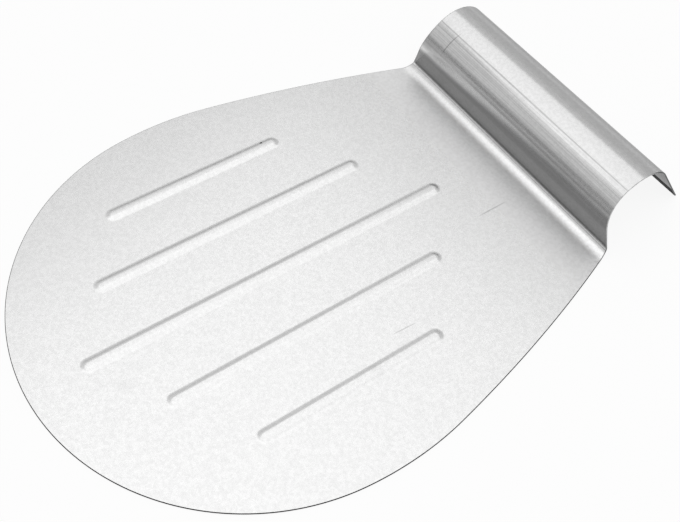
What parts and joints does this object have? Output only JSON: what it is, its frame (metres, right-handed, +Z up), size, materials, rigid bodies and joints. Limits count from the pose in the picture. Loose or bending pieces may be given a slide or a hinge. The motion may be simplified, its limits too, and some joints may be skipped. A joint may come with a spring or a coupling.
{
  "type": "cake lifter",
  "caption": "Flat round-fronted lifter for moving whole cakes, with raised beads along the blade and a rolled tunnel handle bent from the same sheet.",
  "frame": {"origin": "on the table, under the middle of the lifter's footprint", "axes": "+Y along the lifter from the blade's tip to the handle, +Z up from the table, X across"},
  "size_m": [0.2508, 0.359, 0.0423],
  "materials": {
    "satin_steel": "satin stainless steel sheet, brighter and finely streaked along the rolled handle"
  },
  "bodies": {
    "root": {"blade_and_handle": "satin_steel"}
  },
  "joints": []
}
